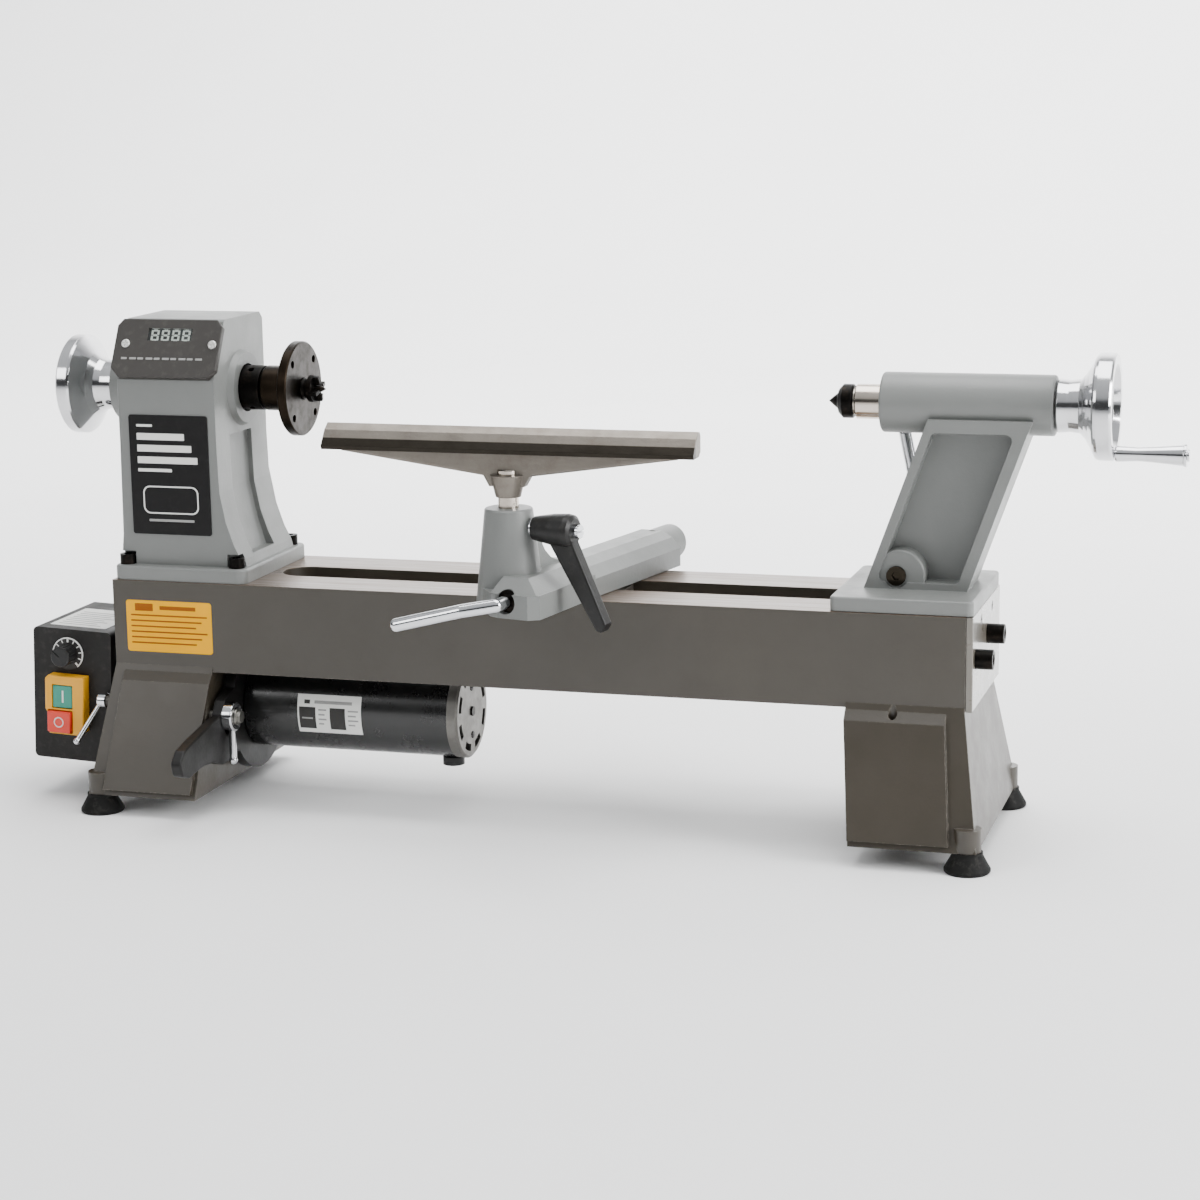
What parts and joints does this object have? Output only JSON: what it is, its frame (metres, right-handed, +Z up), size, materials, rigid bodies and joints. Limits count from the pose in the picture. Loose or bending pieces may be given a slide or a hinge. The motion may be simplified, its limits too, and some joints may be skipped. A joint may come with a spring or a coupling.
{
  "type": "wood_lathe",
  "caption": "Bench-top midi wood lathe with cast bed, grey headstock, long tool rest on a banjo, tailstock with crank handwheel, under-slung motor",
  "frame": {"origin": "middle of the machine's plan box on the bench surface that the four rubber feet stand on", "axes": "+X runs along the spindle from headstock to tailstock, +Y from the operator's side to the back, +Z up"},
  "size_m": [0.9433, 0.2921, 0.4002],
  "materials": {
    "bed_enamel": "warm olive grey enamel on cast iron",
    "head_enamel": "light grey enamel on cast iron",
    "machined_iron": "ground grey iron",
    "black_enamel": "gloss black enamel",
    "bright_chrome": "polished chrome",
    "polished_wheel": "polished cast aluminium",
    "cast_aluminium": "plain die-cast aluminium",
    "turned_steel": "turned bright steel",
    "black_steel": "blackened steel",
    "rubber_black": "black rubber",
    "black_plastic": "moulded black plastic",
    "grey_plastic": "dark grey moulded plastic",
    "clear_window": "tinted clear window",
    "yellow_plastic": "yellow moulded plastic",
    "green_plastic": "green moulded plastic",
    "red_plastic": "red moulded plastic",
    "board_green": "printed circuit board",
    "magnet_ferrite": "sintered ferrite",
    "copper_brass": "brass and copper"
  },
  "bodies": {
    "frame": {"bed_casting": "bed_enamel", "bed_end_plate": "bed_enamel", "bed_extension_bolts": "black_steel", "panel_screws": "black_steel", "frame_bolts": "black_steel", "rubber_feet": "rubber_black", "headstock_casting": "head_enamel", "display_bezel": "grey_plastic", "display_window": "clear_window", "name_plate": "black_enamel", "control_electrics": "board_green", "pivot_pins": "turned_steel", "bearing_outer_rings": "turned_steel", "control_box_case": "black_plastic", "control_box_back": "black_plastic", "switch_housing": "yellow_plastic", "cable_gland": "black_plastic", "drive_belt": "rubber_black"},
    "spindle_unit": {"spindle": "turned_steel", "spindle_collars": "black_steel", "spindle_pulley": "cast_aluminium", "headstock_handwheel": "polished_wheel", "faceplate": "machined_iron", "spur_centre": "black_steel"},
    "motor": {"motor_plate": "black_enamel", "motor_can": "black_enamel", "motor_end_cap": "cast_aluminium", "motor_magnets": "magnet_ferrite", "motor_brushes": "copper_brass", "motor_screws": "black_steel"},
    "rotor": {"motor_shaft": "turned_steel", "motor_armature": "turned_steel", "motor_pulley": "cast_aluminium"},
    "motor_lock": {"motor_lock_lever": "black_plastic", "motor_lock_stud": "bright_chrome"},
    "side_latch": {"side_latch_lever": "black_steel"},
    "start": {"start_button": "green_plastic"},
    "stop": {"stop_button": "red_plastic"},
    "speed": {"speed_knob": "black_plastic"},
    "door": {"belt_door": "black_enamel"},
    "carriage": {"banjo_clamp_plate": "machined_iron"},
    "banjo_pivot": {"banjo_eye_bolt": "turned_steel"},
    "banjo": {"banjo_casting": "head_enamel"},
    "banjo_cam": {"banjo_cam_shaft": "turned_steel", "banjo_lever": "bright_chrome"},
    "rest_post": {"tool_rest_post": "turned_steel"},
    "rest": {"tool_rest": "machined_iron"},
    "rest_lock": {"rest_lock_lever": "black_plastic", "rest_lock_stud": "bright_chrome"},
    "tailstock": {"tailstock_casting": "head_enamel", "tail_eye_bolt": "turned_steel", "tail_clamp_plate": "machined_iron"},
    "tail_cam": {"tail_clamp_lever": "bright_chrome"},
    "tail_wheel": {"tail_handwheel": "polished_wheel", "leadscrew": "turned_steel"},
    "quill_unit": {"quill": "turned_steel", "live_centre_shank": "black_steel"},
    "live_centre": {"live_centre_head": "black_steel"},
    "tail_handle": {"tail_handle_sleeve": "bright_chrome"},
    "quill_lock": {"quill_lock_knob": "black_plastic"}
  },
  "joints": [
    {"name": "spindle_spin", "type": "hinge", "parent": "frame", "child": "spindle_unit", "pos_m": [-0.31905, 0.02115, 0.3416], "axis": [1, 0, 0], "continuous": true},
    {"name": "motor_pivot", "type": "hinge", "parent": "frame", "child": "motor", "pos_m": [-0.29505, 0.06915, 0.078], "axis": [-1, 0, 0], "range_deg": [0, 5], "deforming": ["drive_belt"]},
    {"name": "motor_spin", "type": "hinge", "parent": "motor", "child": "rotor", "pos_m": [-0.23905, 0.02115, 0.078], "axis": [1, 0, 0], "continuous": true},
    {"name": "motor_lock_turn", "type": "hinge", "parent": "frame", "child": "motor_lock", "pos_m": [-0.28305, -0.04885, 0.08], "axis": [1, 0, 0], "range_deg": [-60, 30]},
    {"name": "side_latch_turn", "type": "hinge", "parent": "frame", "child": "side_latch", "pos_m": [-0.40205, -0.04785, 0.087], "axis": [-1, 0, 0], "range_deg": [0, 70]},
    {"name": "start_press", "type": "slide", "parent": "frame", "child": "start", "axis": [0, 1, 0], "range_m": [0, 0.0025], "stiffness_N_per_m": 250},
    {"name": "stop_press", "type": "slide", "parent": "frame", "child": "stop", "axis": [0, 1, 0], "range_m": [0, 0.0025], "stiffness_N_per_m": 250},
    {"name": "speed_turn", "type": "hinge", "parent": "frame", "child": "speed", "pos_m": [-0.43617, -0.04585, 0.12276], "axis": [0, 1, 0], "range_deg": [-70, 200]},
    {"name": "belt_door_open", "type": "hinge", "parent": "frame", "child": "door", "pos_m": [-0.37305, 0.07415, 0.276], "axis": [0, 0, 1], "range_deg": [0, 110]},
    {"name": "carriage_slide", "type": "slide", "parent": "frame", "child": "carriage", "axis": [1, 0, 0], "range_m": [-0.12, 0.08]},
    {"name": "banjo_swivel", "type": "hinge", "parent": "carriage", "child": "banjo_pivot", "pos_m": [0.00968, 0.02118, 0.19], "axis": [0, 0, 1], "range_deg": [-12, 15]},
    {"name": "banjo_reach", "type": "slide", "parent": "banjo_pivot", "child": "banjo", "axis": [0.2079, 0.9781, 0], "range_m": [-0.05, 0.015]},
    {"name": "banjo_cam_turn", "type": "hinge", "parent": "banjo", "child": "banjo_cam", "pos_m": [-0.01344, -0.08759, 0.2018], "axis": [0.2079, 0.9781, 0], "range_deg": [0, 75]},
    {"name": "rest_height", "type": "slide", "parent": "banjo", "child": "rest_post", "axis": [0, 0, 1], "range_m": [0, 0.03]},
    {"name": "rest_swivel", "type": "hinge", "parent": "rest_post", "child": "rest", "pos_m": [-0.03105, -0.08385, 0.29], "axis": [0, 0, -1], "range_deg": [-15, 15]},
    {"name": "rest_lock_turn", "type": "hinge", "parent": "banjo", "child": "rest_lock", "pos_m": [0.00808, -0.09217, 0.253], "axis": [-0.9781, 0.2079, 0], "range_deg": [0, 90]},
    {"name": "tailstock_slide", "type": "slide", "parent": "frame", "child": "tailstock", "axis": [1, 0, 0], "range_m": [-0.1, 0]},
    {"name": "tail_cam_turn", "type": "hinge", "parent": "tailstock", "child": "tail_cam", "pos_m": [0.25495, 0.02115, 0.211], "axis": [0, 1, 0], "range_deg": [0, 60]},
    {"name": "tail_wheel_turn", "type": "hinge", "parent": "tailstock", "child": "tail_wheel", "pos_m": [0.39095, 0.02115, 0.3416], "axis": [-1, 0, 0], "range_deg": [-1440, 4320]},
    {"name": "quill_slide", "type": "slide", "parent": "tailstock", "child": "quill_unit", "axis": [-1, 0, 0], "range_m": [-0.012, 0.036]},
    {"name": "live_centre_spin", "type": "hinge", "parent": "quill_unit", "child": "live_centre", "pos_m": [0.21095, 0.02115, 0.3416], "axis": [1, 0, 0], "continuous": true},
    {"name": "tail_handle_spin", "type": "hinge", "parent": "tail_wheel", "child": "tail_handle", "pos_m": [0.44095, 0.01415, 0.3073], "axis": [1, 0, 0], "continuous": true},
    {"name": "quill_lock_turn", "type": "hinge", "parent": "tailstock", "child": "quill_lock", "pos_m": [0.26295, 0.05115, 0.3416], "axis": [0, -1, 0], "range_deg": [0, 90]}
  ],
  "couplings": [
    {"joint": "motor_spin", "follows": "spindle_spin", "ratio": 1.24},
    {"joint": "quill_slide", "follows": "tail_wheel_turn", "m_per_rad": 0.00047746}
  ]
}
